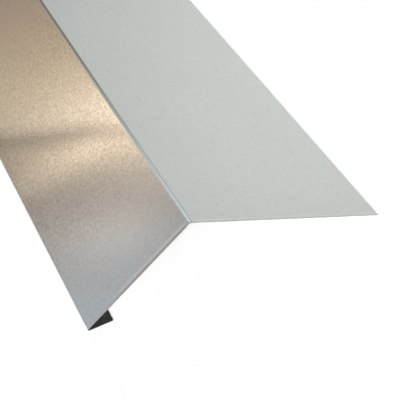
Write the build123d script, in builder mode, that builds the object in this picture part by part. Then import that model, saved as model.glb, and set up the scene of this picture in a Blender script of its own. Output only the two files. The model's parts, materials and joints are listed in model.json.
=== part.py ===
from build123d import *
from math import asin, atan2, cos, degrees, radians, sin, tan
import os

# Eaves flashing: one strip of galvanised steel sheet with two brake folds.
# The wide roof flange lies on the edge of the roof deck, the front flange hangs down over it,
# and the drip return folds back under the front flange to stiffen its lower edge and shed water.
# Here the strip stands unheld on a level floor, as a low tent: on its drip fold and on the free
# edge of the roof flange. X runs across it, from the drip fold to the roof flange, Y along its
# length and Z up. The origin is on the floor, under the middle of its box.

# Driving dimensions, in millimetres and degrees
length = 2000.0  # the stock length, cut square at both ends
sheet = 0.8  # sheet thickness
roof_flange = 150.0  # outer face, from the sharp ridge corner to the free edge
front_flange = 90.0  # outer face, from the sharp ridge corner to the outside of the drip fold
drip_return = 16.0  # from the outside of the drip fold to the return's free edge
ridge_angle = 114.0  # inside angle between the roof flange and the front flange
return_angle = 40.0  # inside angle between the front flange and the drip return
ridge_radius = 2.0  # inside radius of the ridge bend
drip_radius = 0.6  # inside radius of the drip fold

# Outside radii of the two bends
ridge_outer = ridge_radius + sheet
drip_outer = drip_radius + sheet

# The outer face as a line in the section's own axes: the ridge corner is the origin,
# x runs out along the roof flange and y points out of its upper face.
front_heading = -ridge_angle
return_heading = 180.0 - ridge_angle - return_angle
fold_tangent = drip_outer / tan(radians(return_angle / 2))
past_fold = fold_tangent - drip_outer  # from the outside of the fold to its sharp corner
ridge_corner = Vector(0, 0)
roof_edge = Vector(roof_flange, 0)
front_way = Vector(1, 0).rotate(Axis.Z, front_heading)
return_way = Vector(1, 0).rotate(Axis.Z, return_heading)
drip_corner = ridge_corner + front_way * (front_flange + past_fold)
return_edge = drip_corner + return_way * (drip_return + past_fold)

# Where it touches the floor: the lower corner of the roof flange's free edge at one side and, at
# the other, the outside of the drip fold or the return's free edge, whichever lies lower.
fold_centre = drip_corner - front_way * fold_tangent + front_way.rotate(Axis.Z, 90) * drip_outer
roof_foot = roof_edge - Vector(0, sheet)
to_fold = roof_foot - fold_centre
to_return = roof_foot - return_edge
fold_pitch = atan2(to_fold.Y, to_fold.X) + asin(drip_outer / to_fold.length)
return_pitch = atan2(to_return.Y, to_return.X)
roof_pitch = max(fold_pitch, return_pitch)  # slope of the roof flange when it stands

# The section's plane at one end of the strip, turned to that slope, with the lower corner of the
# free edge on the floor and the box across X centred on the origin.
across = Vector(cos(roof_pitch), 0, -sin(roof_pitch))
outward = Vector(sin(roof_pitch), 0, cos(roof_pitch))
fold_reach = across.X * fold_centre.X + outward.X * fold_centre.Y - drip_outer
roof_reach = across.X * roof_edge.X
ridge_x = -(fold_reach + roof_reach) / 2
ridge_height = -(across.Z * roof_foot.X + outward.Z * roof_foot.Y)
section_plane = Plane(
    origin=(ridge_x, length / 2, ridge_height),
    x_dir=across,
    z_dir=(0, -1, 0),
)

outer_corners = [roof_edge, ridge_corner, drip_corner, return_edge]

with BuildPart() as eaves_flashing:
    with BuildLine(section_plane) as outer_face:
        FilletPolyline(
            [section_plane.from_local_coords(corner) for corner in outer_corners],
            radius=[ridge_outer, drip_outer],
        )
    make_brake_formed(thickness=sheet, station_widths=length, side=Side.LEFT)

eaves_flashing.part.label = "eaves_flashing"

os.makedirs("parts", exist_ok=True)
export_step(eaves_flashing.part, "parts/eaves_flashing.step")

bend_line = sheet / 2  # the bends' length is taken at the middle of the sheet
ridge_setback = ridge_outer / tan(radians(ridge_angle / 2))
flats = roof_flange + front_flange - 2 * ridge_setback + drip_return - 2 * drip_outer
bends = radians(180 - ridge_angle) * (ridge_radius + bend_line)
bends += radians(180 - return_angle) * (drip_radius + bend_line)
print(f"strip width {flats + bends:.1f}, roof flange slopes {degrees(roof_pitch):.2f} degrees")
print(f"ridge corner at x {ridge_x:.2f}, z {ridge_height:.2f}")
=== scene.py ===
# %% [markdown]
# # An eaves flashing in galvanised steel
# The object is one strip of zinc-coated sheet, folded twice on a sheet-metal brake and cut
# square at both ends. The solid model gives its size, place and pose, and it is the fixed
# frame for everything here. Blender's task is the finish: a satin zinc skin with a fine grain,
# bends that catch a line of light, and thin shear-cut edges.

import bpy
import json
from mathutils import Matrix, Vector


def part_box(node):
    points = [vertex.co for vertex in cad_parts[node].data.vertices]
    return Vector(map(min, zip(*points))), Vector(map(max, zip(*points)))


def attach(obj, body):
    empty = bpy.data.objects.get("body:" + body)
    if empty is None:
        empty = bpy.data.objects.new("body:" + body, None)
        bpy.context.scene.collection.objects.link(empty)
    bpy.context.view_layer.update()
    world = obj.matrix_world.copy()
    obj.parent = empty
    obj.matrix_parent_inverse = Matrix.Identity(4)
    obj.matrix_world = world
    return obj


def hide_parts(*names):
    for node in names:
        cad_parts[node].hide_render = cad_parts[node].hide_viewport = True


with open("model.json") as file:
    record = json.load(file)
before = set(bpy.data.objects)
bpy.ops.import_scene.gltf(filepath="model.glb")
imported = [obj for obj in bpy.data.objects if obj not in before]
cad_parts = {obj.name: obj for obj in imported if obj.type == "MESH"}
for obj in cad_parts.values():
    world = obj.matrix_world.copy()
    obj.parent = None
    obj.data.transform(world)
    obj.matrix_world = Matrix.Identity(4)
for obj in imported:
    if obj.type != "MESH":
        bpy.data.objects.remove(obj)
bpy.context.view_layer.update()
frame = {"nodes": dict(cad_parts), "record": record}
print("frame loaded, nodes:", sorted(frame["nodes"]))

# %% Modules
import json
from math import cos, pi, radians, sin, tan

import bmesh
import bpy
from mathutils import Quaternion, Vector

scene = bpy.context.scene
scene.view_settings.view_transform = "Standard"
print("view transform:", scene.view_settings.view_transform)

# %% [markdown]
# ## The strip's own sizes
# A folded sheet is described by its flats, its fold angles, its bend radii and its thickness.
# Where the roof flange lies is read from the frame: the record states its upper and lower
# faces as mounts, so their distance is the sheet's thickness, and their normal gives the
# slope. The rest are the same few driving sizes that the solid model has, in metres.

# %% Sizes of the folded strip
NODE = "eaves_flashing"
ROOF_FLANGE = 0.150
FRONT_FLANGE = 0.090
DRIP_RETURN = 0.016
RIDGE_ANGLE = radians(114)
RETURN_ANGLE = radians(40)
RIDGE_RADIUS = 0.002
DRIP_RADIUS = 0.0006

mounts = {mount["name"]: mount for mount in frame["record"]["mounts"]}
lap_point = Vector(mounts["lap_face"]["pos_m"])
deck_point = Vector(mounts["deck_face"]["pos_m"])
outward = Vector(mounts["lap_face"]["axis"]).normalized()
down_roof = Vector((outward.z, 0, -outward.x))
sheet = (lap_point - deck_point).dot(outward)
lowest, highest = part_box(NODE)
length = highest.y - lowest.y

ridge_outer = RIDGE_RADIUS + sheet
drip_outer = DRIP_RADIUS + sheet
ridge_setback = ridge_outer / tan(RIDGE_ANGLE / 2)
roof_flat = ROOF_FLANGE - ridge_setback
front_flat = FRONT_FLANGE - ridge_setback - drip_outer
return_flat = DRIP_RETURN - drip_outer
roof_edge = lap_point + down_roof * ((highest.x - lap_point.x) / down_roof.x)
roof_edge.y = lowest.y
ridge_line = roof_edge - down_roof * ROOF_FLANGE
print(f"sheet {sheet * 1000:.2f} mm, length {length:.3f} m, ridge at x {ridge_line.x * 1000:.1f} mm")

# %% [markdown]
# ## Folding the strip
# A brake grips the sheet and swings the part that stands out round the edge of a beam. Two
# operators do the same to one vertex, which starts at the roof flange's free edge: extruding
# it draws a flat, and spinning it about a bend's centre draws a true arc. A bevel on a sharp
# corner would be shorter, but on a corner as tight as the drip fold its curve isn't round.
# The narrow margin beside each free edge is drawn by itself, because the shear presses it down.

# %% Draw the outer face in section
BEND_STEPS = 14
ROOF_STEPS, FRONT_STEPS, RETURN_STEPS = 12, 8, 2
SIDE_MARGIN = 0.0012
LENGTHWAYS = Vector((0, 1, 0))


def draw_flat(bm, end, heading, distance, steps):
    """Extrudes the end vertex straight on in equal steps, and returns the new end."""
    for _ in range(steps):
        made = bmesh.ops.extrude_vert_indiv(bm, verts=[end])
        end = made["verts"][0]
        bmesh.ops.translate(bm, verts=[end], vec=heading * (distance / steps))
    return end


def draw_bend(bm, end, heading, radius, turn):
    """Spins the end vertex round a bend, and returns the new end and the new heading."""
    inside = Quaternion(LENGTHWAYS, radians(-90)) @ heading
    made = bmesh.ops.spin(
        bm,
        geom=[end],
        cent=end.co + inside * radius,
        axis=LENGTHWAYS,
        angle=-turn,
        steps=BEND_STEPS,
        use_merge=False,
    )
    end = next(item for item in made["geom_last"] if isinstance(item, bmesh.types.BMVert))
    return end, Quaternion(LENGTHWAYS, -turn) @ heading


strip = bmesh.new()
heading = -down_roof
end = strip.verts.new(roof_edge)
end = draw_flat(strip, end, heading, SIDE_MARGIN, 1)
end = draw_flat(strip, end, heading, roof_flat - SIDE_MARGIN, ROOF_STEPS)
end, heading = draw_bend(strip, end, heading, ridge_outer, pi - RIDGE_ANGLE)
end = draw_flat(strip, end, heading, front_flat, FRONT_STEPS)
end, heading = draw_bend(strip, end, heading, drip_outer, pi - RETURN_ANGLE)
end = draw_flat(strip, end, heading, return_flat - SIDE_MARGIN, RETURN_STEPS)
end = draw_flat(strip, end, heading, SIDE_MARGIN, 1)
print("section drawn with", len(strip.verts), "points")

# %% [markdown]
# ## Drawing the section out
# One extrusion turns the section into a shell of the full length. Cross cuts then divide it, so
# that the flats can carry a slight wave, and two bisections set off the margins at the ends,
# which are wider than those at the sides, because the strip is cut to length with hand shears.
# An array of short lengths would need merging, and a curve's extrusion gives no cross cuts.

# %% Draw it out along the length
LENGTH_CUTS = 159
END_MARGIN = 0.0036
made = bmesh.ops.extrude_edge_only(strip, edges=strip.edges[:])
far_end = [item for item in made["geom"] if isinstance(item, bmesh.types.BMVert)]
bmesh.ops.translate(strip, verts=far_end, vec=LENGTHWAYS * length)
long_edges = [edge for edge in strip.edges if edge.calc_length() > length / 2]
bmesh.ops.subdivide_edges(strip, edges=long_edges, cuts=LENGTH_CUTS, use_grid_fill=True)
for margin_line in (lowest.y + END_MARGIN, highest.y - END_MARGIN):
    whole = strip.verts[:] + strip.edges[:] + strip.faces[:]
    bmesh.ops.bisect_plane(strip, geom=whole, plane_co=LENGTHWAYS * margin_line, plane_no=LENGTHWAYS)
bmesh.ops.recalc_face_normals(strip, faces=strip.faces)
if sum(face.normal.z * face.calc_area() for face in strip.faces) < 0:
    bmesh.ops.reverse_faces(strip, faces=strip.faces)
print("outer face drawn out with", len(strip.faces), "faces")

# %% [markdown]
# ## A little slack in the sheet
# Thin sheet is never dead flat. The folds hold it straight, but the roof flange's free edge
# lies in long, shallow waves, a few tenths of a millimetre high. They are too small to see as
# shape, yet they bend the reflections, which is how the eye tells sheet metal from a drawing.
# A displacement texture could do it too, but a sum of two cosines says how long each wave is.

# %% Lift the free edge in shallow waves
WAVE_HEIGHT = 0.00035
LONG_WAVE = 0.61
SHORT_WAVE = 0.36
lifted = 0
for vert in strip.verts:
    from_edge = (vert.co - roof_edge).dot(-down_roof)
    below_face = (roof_edge - vert.co).dot(outward)
    if from_edge < roof_flat and below_face < sheet:
        freedom = 1 - from_edge / roof_flat
        along = vert.co.y - lowest.y
        wave = 0.5 - 0.3 * cos(2 * pi * along / SHORT_WAVE) - 0.2 * cos(2 * pi * along / LONG_WAVE)
        vert.co.z += WAVE_HEIGHT * wave * freedom**2
        lifted += 1
print("lifted", lifted, "points by at most", WAVE_HEIGHT * 1000, "mm")

# %% [markdown]
# ## Thickness and sheared edges
# A shear leaves its mark on a cut edge: the blade presses the margin of the upper face down and
# rounds its corner, burnishes the top of the cut, and the rest of the metal tears. The shell
# gets its thickness first. Its rim is then cut into four rows, of which the top one is burnished
# with the margin above it and the others are torn, and the upper corner gets a small bevel.

# %% Thicken the sheet and press its margin down
MARGIN_DROP = 0.00006
outer_faces = set(strip.faces)
outer_verts = set(strip.verts)
made = bmesh.ops.solidify(strip, geom=strip.faces[:], thickness=sheet)
inner_faces = {item for item in made["geom"] if isinstance(item, bmesh.types.BMFace)}
through = [edge for edge in strip.edges if sum(vert in outer_verts for vert in edge.verts) == 1]
for edge in through:
    inner, outer = sorted(edge.verts, key=lambda vert: vert in outer_verts)
    inward = (inner.co - outer.co).normalized()
    bmesh.ops.translate(strip, verts=[outer], vec=inward * MARGIN_DROP)
print("sheet thickened,", len(through), "edges go through it")

# %% Part the rim into its burnished and its torn band
BURNISHED, TORN = 1, 2
RIM_CUTS = 3
CORNER_ROUND = 0.00014
SHARP_ANGLE = radians(50)
bmesh.ops.subdivide_edges(strip, edges=through, cuts=RIM_CUTS, use_grid_fill=True)
rim_faces = set(strip.faces) - outer_faces - inner_faces
upper_corner = [
    edge
    for edge in strip.edges
    if not outer_faces.isdisjoint(edge.link_faces) and not rim_faces.isdisjoint(edge.link_faces)
]
corner_verts = {vert for edge in upper_corner for vert in edge.verts}
for face in strip.faces:
    face.smooth = True
    if not corner_verts.isdisjoint(face.verts):
        face.material_index = BURNISHED
    elif face in rim_faces:
        face.material_index = TORN
bmesh.ops.bevel(
    strip,
    geom=upper_corner,
    offset=CORNER_ROUND,
    offset_type="OFFSET",
    segments=2,
    profile=0.5,
    affect="EDGES",
    material=-1,
    clamp_overlap=False,
)
strip.normal_update()
for edge in strip.edges:
    edge.smooth = edge.calc_face_angle(0) < SHARP_ANGLE
closed = all(edge.is_manifold for edge in strip.edges)
print("rounded", len(upper_corner), "edges of the upper corner, sheet closed:", closed)

# %% [markdown]
# ## The sheet as an object
# The mesh goes into an object that stands for the solid model's node and moves with its body.
# On a fold, plain smooth shading tilts the normals of the flats beside it, and the flats then
# look puffed. Weighted normals let the large flat faces decide, so the flats stay flat.

# %% Make the object
mesh = bpy.data.meshes.new("flashing_sheet")
strip.to_mesh(mesh)
strip.free()
flashing = bpy.data.objects.new("flashing_sheet", mesh)
scene.collection.objects.link(flashing)
even_normals = flashing.modifiers.new("flats_stay_flat", "WEIGHTED_NORMAL")
even_normals.keep_sharp = True
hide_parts(NODE)
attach(flashing, "root")
print("flashing sheet:", len(mesh.polygons), "faces")

# %% [markdown]
# ## Shader sums
# The finishes here are sums of noise, and a sum is hard to read as a web of nodes. A small class
# wraps a node's socket, so that a sum in Python builds its Math nodes. One method adds any other
# node, and a few short ones name the shapes that come up again: a mix, a soft step and a hump.


# %% A socket that can be added and multiplied
class Sum:
    """A node socket that takes part in Python sums; other nodes come from its node method."""

    def __init__(self, tree, socket=None):
        self.tree = tree
        self.socket = socket

    def node(self, kind, settings=None, inputs=None, output=0):
        """Adds a node: its settings or ramp stops first, then its sockets' values or links."""
        made = self.tree.nodes.new(kind)
        for name, value in (settings or {}).items():
            if name == "stops":
                self.set_stops(made.color_ramp.elements, value)
            else:
                setattr(made, name, value)
        for name, value in (inputs or {}).items():
            self.feed(value, made.inputs[name])
        return Sum(self.tree, made.outputs[output]) if made.outputs else None

    def set_stops(self, elements, stops):
        """Gives a ramp its (place, colour) pairs, which stand in rising order."""
        elements[0].position, elements[1].position = stops[0][0], stops[-1][0]
        for place, _ in stops[1:-1]:
            elements.new(place)
        for element, (_, colour) in zip(elements, stops):
            element.color = (*colour, 1)

    def feed(self, value, socket):
        """Links another Sum to a socket, or sets a plain value or colour on it."""
        if isinstance(value, Sum):
            self.tree.links.new(value.socket, socket)
        elif socket.type == "RGBA":
            socket.default_value = (*value, 1)
        else:
            socket.default_value = value

    def mix(self, under, over, share, blend="MIX"):
        """A share of one colour laid over another."""
        settings = {"data_type": "RGBA", "blend_type": blend}
        return self.node("ShaderNodeMix", settings, {0: share, 6: under, 7: over}, 2)

    def shade(self, colour):
        """A colour made lighter or darker by this value."""
        return self.mix(colour, self, 1.0, "MULTIPLY")

    def smooth(self, low, high, first=0.0, last=1.0):
        """A soft step from first to last while this value goes from low to high."""
        settings = {"interpolation_type": "SMOOTHSTEP"}
        sockets = {"Value": self, "From Min": low, "From Max": high, "To Min": first, "To Max": last}
        return self.node("ShaderNodeMapRange", settings, sockets)

    def hump(self, middle, width):
        """A soft hump, one high, where this value passes the middle."""
        away = (self - middle) * (1 / width)
        return self.math("EXPONENT", -1 * (away * away))

    def math(self, operation, first, second=0.0):
        return self.node("ShaderNodeMath", {"operation": operation}, {0: first, 1: second})

    def __add__(self, other):
        return self.math("ADD", self, other)

    def __radd__(self, other):
        return self.math("ADD", other, self)

    def __sub__(self, other):
        return self.math("SUBTRACT", self, other)

    def __rsub__(self, other):
        return self.math("SUBTRACT", other, self)

    def __mul__(self, other):
        return self.math("MULTIPLY", self, other)

    def __rmul__(self, other):
        return self.math("MULTIPLY", other, self)


def new_finish(name):
    """A material with a Principled shader, and a Sum to build its nodes with."""
    material = bpy.data.materials.new(name)
    material.use_nodes = True
    tree = material.node_tree
    return material, tree.nodes["Principled BSDF"], Sum(tree)


def object_place(build):
    """The point on the piece, and its three coordinates by themselves."""
    place = build.node("ShaderNodeTexCoord", output="Object")
    split = [build.node("ShaderNodeSeparateXYZ", None, {0: place}, axis) for axis in "XYZ"]
    return place, *split


def noise(build, place, size, detail=0.0):
    """Soft noise with patches of about the given size in metres."""
    sockets = {"Vector": place, "Scale": 1 / size, "Detail": detail, "Roughness": 0.55}
    return build.node("ShaderNodeTexNoise", None, sockets, "Fac")


RIDGE_BLEND = 0.003


def roof_share(x):
    """Nought on the front flange and one on the roof flange, soft across the ridge."""
    return x.smooth(ridge_line.x - RIDGE_BLEND, ridge_line.x + RIDGE_BLEND)


print("shader sums ready")

# %% [markdown]
# ## Zinc skin
# Hot-dip zinc cools into fine crystals, and a skin pass between rolls leaves it satin: it mirrors
# light and dark shapes softly, and its grain glitters where a lamp is near. One roughness would
# make it look like plastic foil. Here small facets tilt the normal by a fraction of a degree, a
# coarser grain darkens some spots, a few flecks are darker still, and wide, faint drifts vary
# the tone. The grain's contrast is painted stronger on the front flange, and in bands along it,
# as painted glint. Low down by the drip fold the zinc's colour is darkened, as painted shade.

# %% Zinc skin
ZINC = (0.575, 0.603, 0.583)
FACET, GRAIN, FLECK, MOTTLE, DRIFT = 0.0010, 0.0017, 0.0045, 0.006, 0.06
FACET_DEPTH = 8.5e-6
GLINT_BAND = 0.28

finish, shader, build = new_finish("zinc_skin")
place, x, y, z = object_place(build)
grain = noise(build, place, GRAIN)
mottle = noise(build, place, MOTTLE, 2)
drift = noise(build, place, DRIFT, 2)
on_front = 1 - roof_share(x)
# The grain's contrast is painted stronger on the front flange and in bands along its length: painted
# glint.
glint_wave = build.math("COSINE", (y - lowest.y) * (2 * pi / GLINT_BAND))
painted_glint_bands = glint_wave.smooth(-0.2, 1.0, 1.05, 0.3)
grain_and_glint = (grain - 0.5) * (0.1 + 0.9 * on_front) * painted_glint_bands
# Low by the drip fold the zinc's colour is darkened: painted shade.
painted_fold_shade = z.smooth(2 * sheet, 4 * sheet, 1.0, 0.0) * on_front
fleck = noise(build, place, FLECK, 1).smooth(0.58, 0.70)
tone = 1 - 0.5 * grain_and_glint - 0.045 * fleck + 0.04 * (mottle - 0.5) + 0.05 * (drift - 0.5) - 0.25 * painted_fold_shade
build.feed(tone.shade(ZINC), shader.inputs["Base Color"])
build.feed(0.95 - 0.05 * grain_and_glint, shader.inputs["Metallic"])
build.feed(0.042 + 0.02 * mottle + 0.03 * grain, shader.inputs["Roughness"])
sockets = {"Strength": 1.0, "Distance": FACET_DEPTH, "Height": noise(build, place, FACET)}
build.feed(build.node("ShaderNodeBump", None, sockets, "Normal"), shader.inputs["Normal"])
mesh.materials.append(finish)
print("made", finish.name, "with grain of", GRAIN * 1000, "mm")

# %% [markdown]
# ## Burnished margin with a painted highlight
# The shear's blade drags zinc over the corner and rubs it. The margin is less of a mirror than
# the skin beside it, and its colour is painted pale, a painted highlight, so it shows as a thin
# light line wherever a lamp reaches it; on the front flange it is painted warm, a painted warm
# reflection. Along the very edge of both ends a dark line runs beside the light one, darker and
# wider on the front flange. The wear and the painted highlight fade inward, toward the drip,
# where the margin is darkened a little as painted shade, and on the ridge. The long sides, slit in
# the mill, have none. So the finish goes from the skin's own values to the worn and painted ones,
# and fine streaks vary its tone.

# %% Burnished margin with a painted highlight
# Pale margin colours are a painted highlight. The warm one on the front flange is also a painted
# warm reflection.
PAINTED_WARM_HIGHLIGHT = (0.62, 0.59, 0.555)
PAINTED_PALE_HIGHLIGHT = (0.67, 0.68, 0.66)
WEAR_AND_HIGHLIGHT_WIDTH, DARK_LINE_WIDTH = 0.0020, 0.0022
STREAK = 0.0004
DRIP_TOP, CLEAR_OF_DRIP = 0.008, 0.030
finish, shader, build = new_finish("burnished_margin_and_highlight")
place, x, y, z = object_place(build)
streak = noise(build, place, STREAK, 1)
from_end = build.math("MINIMUM", y - lowest.y, highest.y - y)
on_roof = roof_share(x)
by_drip = z.smooth(DRIP_TOP, CLEAR_OF_DRIP, 1.0, 0.0) * (1 - on_roof)
off_ridge = 1 - 0.8 * x.hump(ridge_line.x, RIDGE_BLEND)
reach = 1 - 0.25 * on_roof
wear_and_highlight = from_end.smooth(WEAR_AND_HIGHLIGHT_WIDTH * reach, END_MARGIN * reach, 1.0, 0.0) * (1 - by_drip) * off_ridge
# A dark line along the very edge of each end, darker and wider on the front flange.
dark_end_line = from_end.smooth(0.0, DARK_LINE_WIDTH * (1 - 0.8 * on_roof), 1.0, 0.0) * (1 - by_drip) * off_ridge
rubbed_and_highlight = build.mix(ZINC, build.mix(PAINTED_WARM_HIGHLIGHT, PAINTED_PALE_HIGHLIGHT, on_roof), wear_and_highlight)
# The margin is darkened a little by the drip fold: painted shade.
painted_drip_shade = from_end.smooth(0.0, END_MARGIN, 1.0, 0.0) * by_drip
tone = (0.95 + 0.1 * streak) * (1 - (0.47 - 0.17 * on_roof) * dark_end_line - 0.06 * painted_drip_shade)
build.feed(tone.shade(rubbed_and_highlight), shader.inputs["Base Color"])
build.feed(0.95 - 0.2 * wear_and_highlight, shader.inputs["Metallic"])
build.feed(0.06 + 0.2 * wear_and_highlight + 0.05 * streak, shader.inputs["Roughness"])
mesh.materials.append(finish)
print("made", finish.name)

# %% [markdown]
# ## Torn band
# Below the burnished band the steel tears, and the bare, rough metal is dark. How deep it tears
# changes from one bite of the blade to the next, every few millimetres. On the front flange the
# torn band is painted darker and browner, as painted shade, and on the roof flange lighter and
# greyer, as painted light. Two noises and a mix do it.

# %% Torn band
# The torn band shaded on the front flange and lit on the roof flange: painted shade and painted
# light.
SHADED_BROWN_TEAR = (0.155, 0.14, 0.12)
LIT_GREY_TEAR = (0.29, 0.285, 0.275)
TEAR, BITE = 0.0003, 0.0035
TEAR_DEPTH = 0.00006
finish, shader, build = new_finish("torn_band")
place, x, _, _ = object_place(build)
tear = noise(build, place, TEAR, 2)
bite = noise(build, place, BITE, 1)
tone = 0.1 + 0.4 * tear + 1.4 * bite
build.feed(tone.shade(build.mix(SHADED_BROWN_TEAR, LIT_GREY_TEAR, roof_share(x))), shader.inputs["Base Color"])
build.feed(0.3, shader.inputs["Metallic"])
build.feed(0.45 + 0.15 * tear, shader.inputs["Roughness"])
sockets = {"Strength": 0.6, "Distance": TEAR_DEPTH, "Height": tear}
build.feed(build.node("ShaderNodeBump", None, sockets, "Normal"), shader.inputs["Normal"])
mesh.materials.append(finish)
print("made", finish.name)

# %% [markdown]
# ## Floor
# The stage is a wide, plain, pale floor. It is matt, so that the only thing to see on it is the
# strip's soft shadow. A curved backdrop isn't needed, because the camera looks down.

# %% Floor
FLOOR_REACH = 20
FLOOR_WHITE = (0.95, 0.95, 0.95)
floor_mesh = bpy.data.meshes.new("floor")
bm = bmesh.new()
bmesh.ops.create_grid(bm, x_segments=1, y_segments=1, size=FLOOR_REACH)
bm.to_mesh(floor_mesh)
bm.free()
floor = bpy.data.objects.new("floor", floor_mesh)
scene.collection.objects.link(floor)
finish, shader, build = new_finish("floor_white")
build.feed(FLOOR_WHITE, shader.inputs["Base Color"])
build.feed(1.0, shader.inputs["Roughness"])
build.feed(0.0, shader.inputs["Specular IOR Level"])
floor_mesh.materials.append(finish)
print("floor reaches", FLOOR_REACH, "m each way")

# %% [markdown]
# ## Lamp
# One broad lamp stands behind the camera, so shadows fall away from the viewer and stay soft.
# A sun lamp with a wide angle gives the same light everywhere, which keeps a pale floor even.
# Its energy is set from its height, so that the floor gets the level at which a colour renders
# about as it is written. Metal would mirror it as a hard disc, so glossy rays don't see it.


# %% Lamp
def direction(azimuth, elevation):
    """The unit vector to an azimuth, clockwise from +Y, and an elevation, both in degrees."""
    azimuth, elevation = radians(azimuth), radians(elevation)
    return Vector((sin(azimuth) * cos(elevation), cos(azimuth) * cos(elevation), sin(elevation)))


CAMERA_AZIMUTH = -27.578
LAMP_ELEVATION = 38
LAMP_ANGLE = 18
LAMP_LEVEL = 0.83
to_lamp = direction(180 - CAMERA_AZIMUTH, LAMP_ELEVATION)
lamp_data = bpy.data.lights.new("soft_lamp", "SUN")
lamp_data.angle = radians(LAMP_ANGLE)
lamp_data.energy = LAMP_LEVEL * pi / sin(radians(LAMP_ELEVATION))
lamp = bpy.data.objects.new("soft_lamp", lamp_data)
scene.collection.objects.link(lamp)
lamp.rotation_mode = "QUATERNION"
lamp.rotation_quaternion = to_lamp.to_track_quat("Z", "Y")
lamp.visible_glossy = False
print(f"lamp energy {lamp_data.energy:.2f} at {LAMP_ELEVATION} degrees")

# %% [markdown]
# ## Room
# A mirror has no look of its own: what sheet metal shows is the room. Matt surfaces get a low,
# even light from it, and the camera sees a pale background. Glossy rays see a grey room with a
# few soft round patches. Two broad pale ones behind the viewer give the strip a run of tone from
# the back and from above. A pale one low down is what the roof flange mirrors, and a cool bright
# one and a dark one, kept off the horizon, are squeezed by the ridge's bend into one thin line.
# An environment picture would do the same, but it would be a file, and it would hide what makes
# the line.

# %% Room
AMBIENT = (0.22, 0.22, 0.22)
BACKGROUND = (1.0, 1.0, 1.0)
DARK_FOOT, DARK_FULL = 0.12, 0.25
world = bpy.data.worlds.new("room")
scene.world = world
world.use_nodes = True
build = Sum(world.node_tree)
way = build.node("ShaderNodeTexCoord", output="Generated")
height = build.node("ShaderNodeSeparateXYZ", None, {0: way}, "Z")


def patch(room, azimuth, elevation, core, rim, light):
    """Lays a soft round patch of light, core and rim in degrees, over what metal sees."""
    sockets = {0: way, 1: direction(azimuth, elevation)}
    nearness = build.node("ShaderNodeVectorMath", {"operation": "DOT_PRODUCT"}, sockets, "Value")
    angle = build.math("ARCCOSINE", nearness)
    return build.mix(room, light, angle.smooth(radians(core), radians(rim), 1.0, 0.0))


GREYS = [
    (0.0, (0.72, 0.72, 0.72)),
    (0.4, (0.715, 0.725, 0.735)),
    (0.8, (0.50, 0.51, 0.52)),
    (1.0, (0.60, 0.61, 0.62)),
]
room = build.node("ShaderNodeValToRGB", {"stops": GREYS}, {"Fac": height}, "Color")
room = patch(room, azimuth=225, elevation=50, core=4, rim=38, light=(1.0, 1.0, 0.98))
room = patch(room, azimuth=120, elevation=35, core=4, rim=42, light=(0.98, 1.0, 1.0))
room = patch(room, azimuth=51, elevation=5, core=2, rim=23, light=(0.97, 0.98, 0.97))
room = patch(room, azimuth=6.5, elevation=42, core=16.5, rim=21.7, light=(1.04, 1.14, 1.21))
dark = patch(room, azimuth=8, elevation=24, core=15, rim=31, light=(0.27, 0.23, 0.17))
room = build.mix(room, dark, height.smooth(DARK_FOOT, DARK_FULL))

is_camera = build.node("ShaderNodeLightPath", output="Is Camera Ray")
is_glossy = build.node("ShaderNodeLightPath", output="Is Glossy Ray")
is_clear = build.node("ShaderNodeLightPath", output="Is Transmission Ray")
seen = build.mix(AMBIENT, room, is_glossy + is_clear)
seen = build.mix(seen, BACKGROUND, is_camera)
build.feed(seen, world.node_tree.nodes["Background"].inputs["Color"])
print("room with", len(GREYS), "greys and 5 patches")

# %% [markdown]
# ## Warm board
# The front flange mirrors one thing, a warm lit board that stands four metres away. Its light
# runs from cool grey at the left, through a bright warm stretch, to brown at the right, and a
# dark leaning bar crosses it. In a studio it would be a painted card under a lamp. Here it is one
# glowing plane that only glossy rays see, so it lights nothing else. Toward its edges it turns
# clear, because a hard border would show as a line in the metal from other sides.

# %% Light of the warm board
BOARD_AZIMUTH = -42.6
BOARD_DISTANCE = 4.0
BOARD_LEFT, BOARD_RIGHT, BOARD_FOOT, BOARD_TOP = -1.5, 2.2, 0.2, 4.8
BOARD_WIDTH = BOARD_RIGHT - BOARD_LEFT
FRONT_IN_VIEW = Vector((-0.067, -0.873, 0.0))
board_right = direction(BOARD_AZIMUTH + 90, 0)
board_foot = FRONT_IN_VIEW + direction(BOARD_AZIMUTH, 0) * BOARD_DISTANCE

finish = bpy.data.materials.new("warm_board")
finish.use_nodes = True
finish.node_tree.nodes.clear()
build = Sum(finish.node_tree)
_, x, y, up = object_place(build)
across = x * board_right.x + y * board_right.y - board_foot.dot(board_right)


def along_board(pairs):
    """A ramp across the board, from pairs of metres from its middle and a colour."""
    stops = [((metres - BOARD_LEFT) / BOARD_WIDTH, colour) for metres, colour in pairs]
    share = (across - BOARD_LEFT) * (1 / BOARD_WIDTH)
    return build.node("ShaderNodeValToRGB", {"stops": stops}, {"Fac": share}, "Color")


low_light = along_board([
    (-0.85, (0.61, 0.63, 0.69)),
    (-0.50, (0.57, 0.50, 0.48)),
    (-0.24, (0.49, 0.40, 0.34)),
    (-0.05, (0.71, 0.54, 0.39)),
    (0.05, (0.68, 0.52, 0.41)),
    (0.13, (0.94, 0.74, 0.56)),
    (0.25, (0.87, 0.67, 0.48)),
    (0.68, (0.59, 0.42, 0.29)),
    (0.85, (0.44, 0.34, 0.29)),
])
high_light = along_board([
    (-0.5, (0.42, 0.43, 0.45)),
    (0.0, (0.57, 0.65, 0.73)),
    (0.3, (0.98, 0.94, 0.89)),
    (0.8, (0.78, 0.74, 0.69)),
    (1.1, (0.90, 0.81, 0.72)),
    (1.4, (0.54, 0.46, 0.40)),
    (1.6, (0.36, 0.29, 0.24)),
])
print("board", BOARD_DISTANCE, "m away,", BOARD_WIDTH, "m wide")

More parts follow.
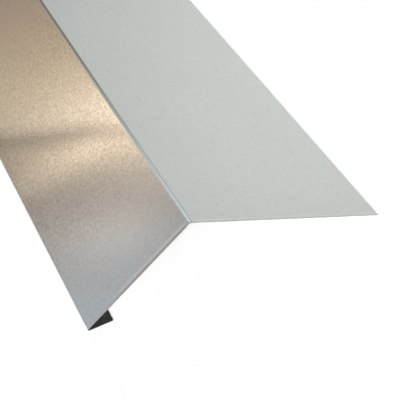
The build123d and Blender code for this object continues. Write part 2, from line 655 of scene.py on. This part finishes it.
# %% Shapes on the warm board
LOW_TOP, HIGH_FOOT = 1.65, 2.3
LEAN_FROM = 1.15
BAR_PLACE, BAR_WIDTH, BAR_LEAN, BAR_DARK = 0.05, 0.028, -0.127, 0.62
GLOW_PLACE, GLOW_WIDTH, GLOW_LEAN, GLOW_LIGHT = -0.08, 0.07, 0.3, 0.38
WARM_LEFT, WARM_RIGHT, WARM_FOOT, WARM_RISE = (-0.57, 0.17), (-0.21, 0.58), 0.9, 2.28
PALE_PLACE, PALE_WIDTH, PALE_HEIGHT, PALE_REACH, PALE_LIGHT = -0.52, 0.155, 1.29, 0.3, 0.44


def leaning(lean):
    """The place across the board, counted from a line that leans this far for each metre up."""
    return across - lean * (up - LEAN_FROM)


low_down = up.smooth(LOW_TOP, HIGH_FOOT, 1.0, 0.0)
bar = leaning(BAR_LEAN).hump(BAR_PLACE, BAR_WIDTH) * low_down
side_glow = leaning(GLOW_LEAN).hump(GLOW_PLACE, GLOW_WIDTH) * low_down
warm_part = across.smooth(*WARM_LEFT) * across.smooth(*WARM_RIGHT, 1.0, 0.1) * low_down
pale_patch = across.hump(PALE_PLACE, PALE_WIDTH) * up.hump(PALE_HEIGHT, PALE_REACH)
level = 1 + (up - WARM_FOOT) * WARM_RISE * warm_part + PALE_LIGHT * pale_patch
level = level * (1 + GLOW_LIGHT * side_glow) * (1 - BAR_DARK * bar)
glow = level.shade(build.mix(high_light, low_light, low_down))
print("bar on the board is", 2 * BAR_WIDTH, "m wide")

# %% Hang the warm board
FADE = 0.5
within = 1.0
for from_edge in (across - BOARD_LEFT, BOARD_RIGHT - across, up - BOARD_FOOT, BOARD_TOP - up):
    within = within * from_edge.smooth(0.0, FADE)
emit = build.node("ShaderNodeEmission", None, {"Color": glow})
clear = build.node("ShaderNodeBsdfTransparent")
faded = build.node("ShaderNodeMixShader", None, {0: within, 1: clear, 2: emit})
build.node("ShaderNodeOutputMaterial", None, {"Surface": faded})

bm = bmesh.new()
corner = board_foot + board_right * BOARD_LEFT + Vector((0, 0, BOARD_FOOT))
low_corner = bm.verts.new(corner)
made = bmesh.ops.extrude_vert_indiv(bm, verts=[low_corner])
bmesh.ops.translate(bm, verts=made["verts"], vec=board_right * BOARD_WIDTH)
made = bmesh.ops.extrude_edge_only(bm, edges=made["edges"])
top_verts = [item for item in made["geom"] if isinstance(item, bmesh.types.BMVert)]
bmesh.ops.translate(bm, verts=top_verts, vec=Vector((0, 0, BOARD_TOP - BOARD_FOOT)))
board_mesh = bpy.data.meshes.new("warm_board")
bm.to_mesh(board_mesh)
bm.free()
board_mesh.materials.append(finish)
board = bpy.data.objects.new("warm_board", board_mesh)
scene.collection.objects.link(board)
board.visible_camera = False
board.visible_diffuse = False
board.visible_shadow = False
print("board hung with", len(board_mesh.polygons), "face")

# %% [markdown]
# ## Camera
# The view looks down along the strip from above its near end, a little from the left. The place,
# the two angles and the lens were found by matching the strip's corners and long edges, so the
# camera needs no shift. A roll of about half a degree came out of the same match.

# %% Camera
CAMERA_PLACE = Vector((-0.18163, -1.29157, 0.42367))
CAMERA_ELEVATION = 46.548
CAMERA_ROLL = 0.607
SENSOR, LENS = 36, 79.43
camera_data = bpy.data.cameras.new("photo_camera")
camera_data.sensor_width = SENSOR
camera_data.lens = LENS
camera = bpy.data.objects.new("photo_camera", camera_data)
scene.collection.objects.link(camera)
camera.location = CAMERA_PLACE
camera.rotation_mode = "QUATERNION"
to_camera = direction(180 - CAMERA_AZIMUTH, CAMERA_ELEVATION)
roll = Quaternion((0, 0, 1), radians(CAMERA_ROLL))
camera.rotation_quaternion = to_camera.to_track_quat("Z", "Y") @ roll
scene.camera = camera
print("camera with a", LENS, "mm lens at", tuple(round(value, 3) for value in CAMERA_PLACE))
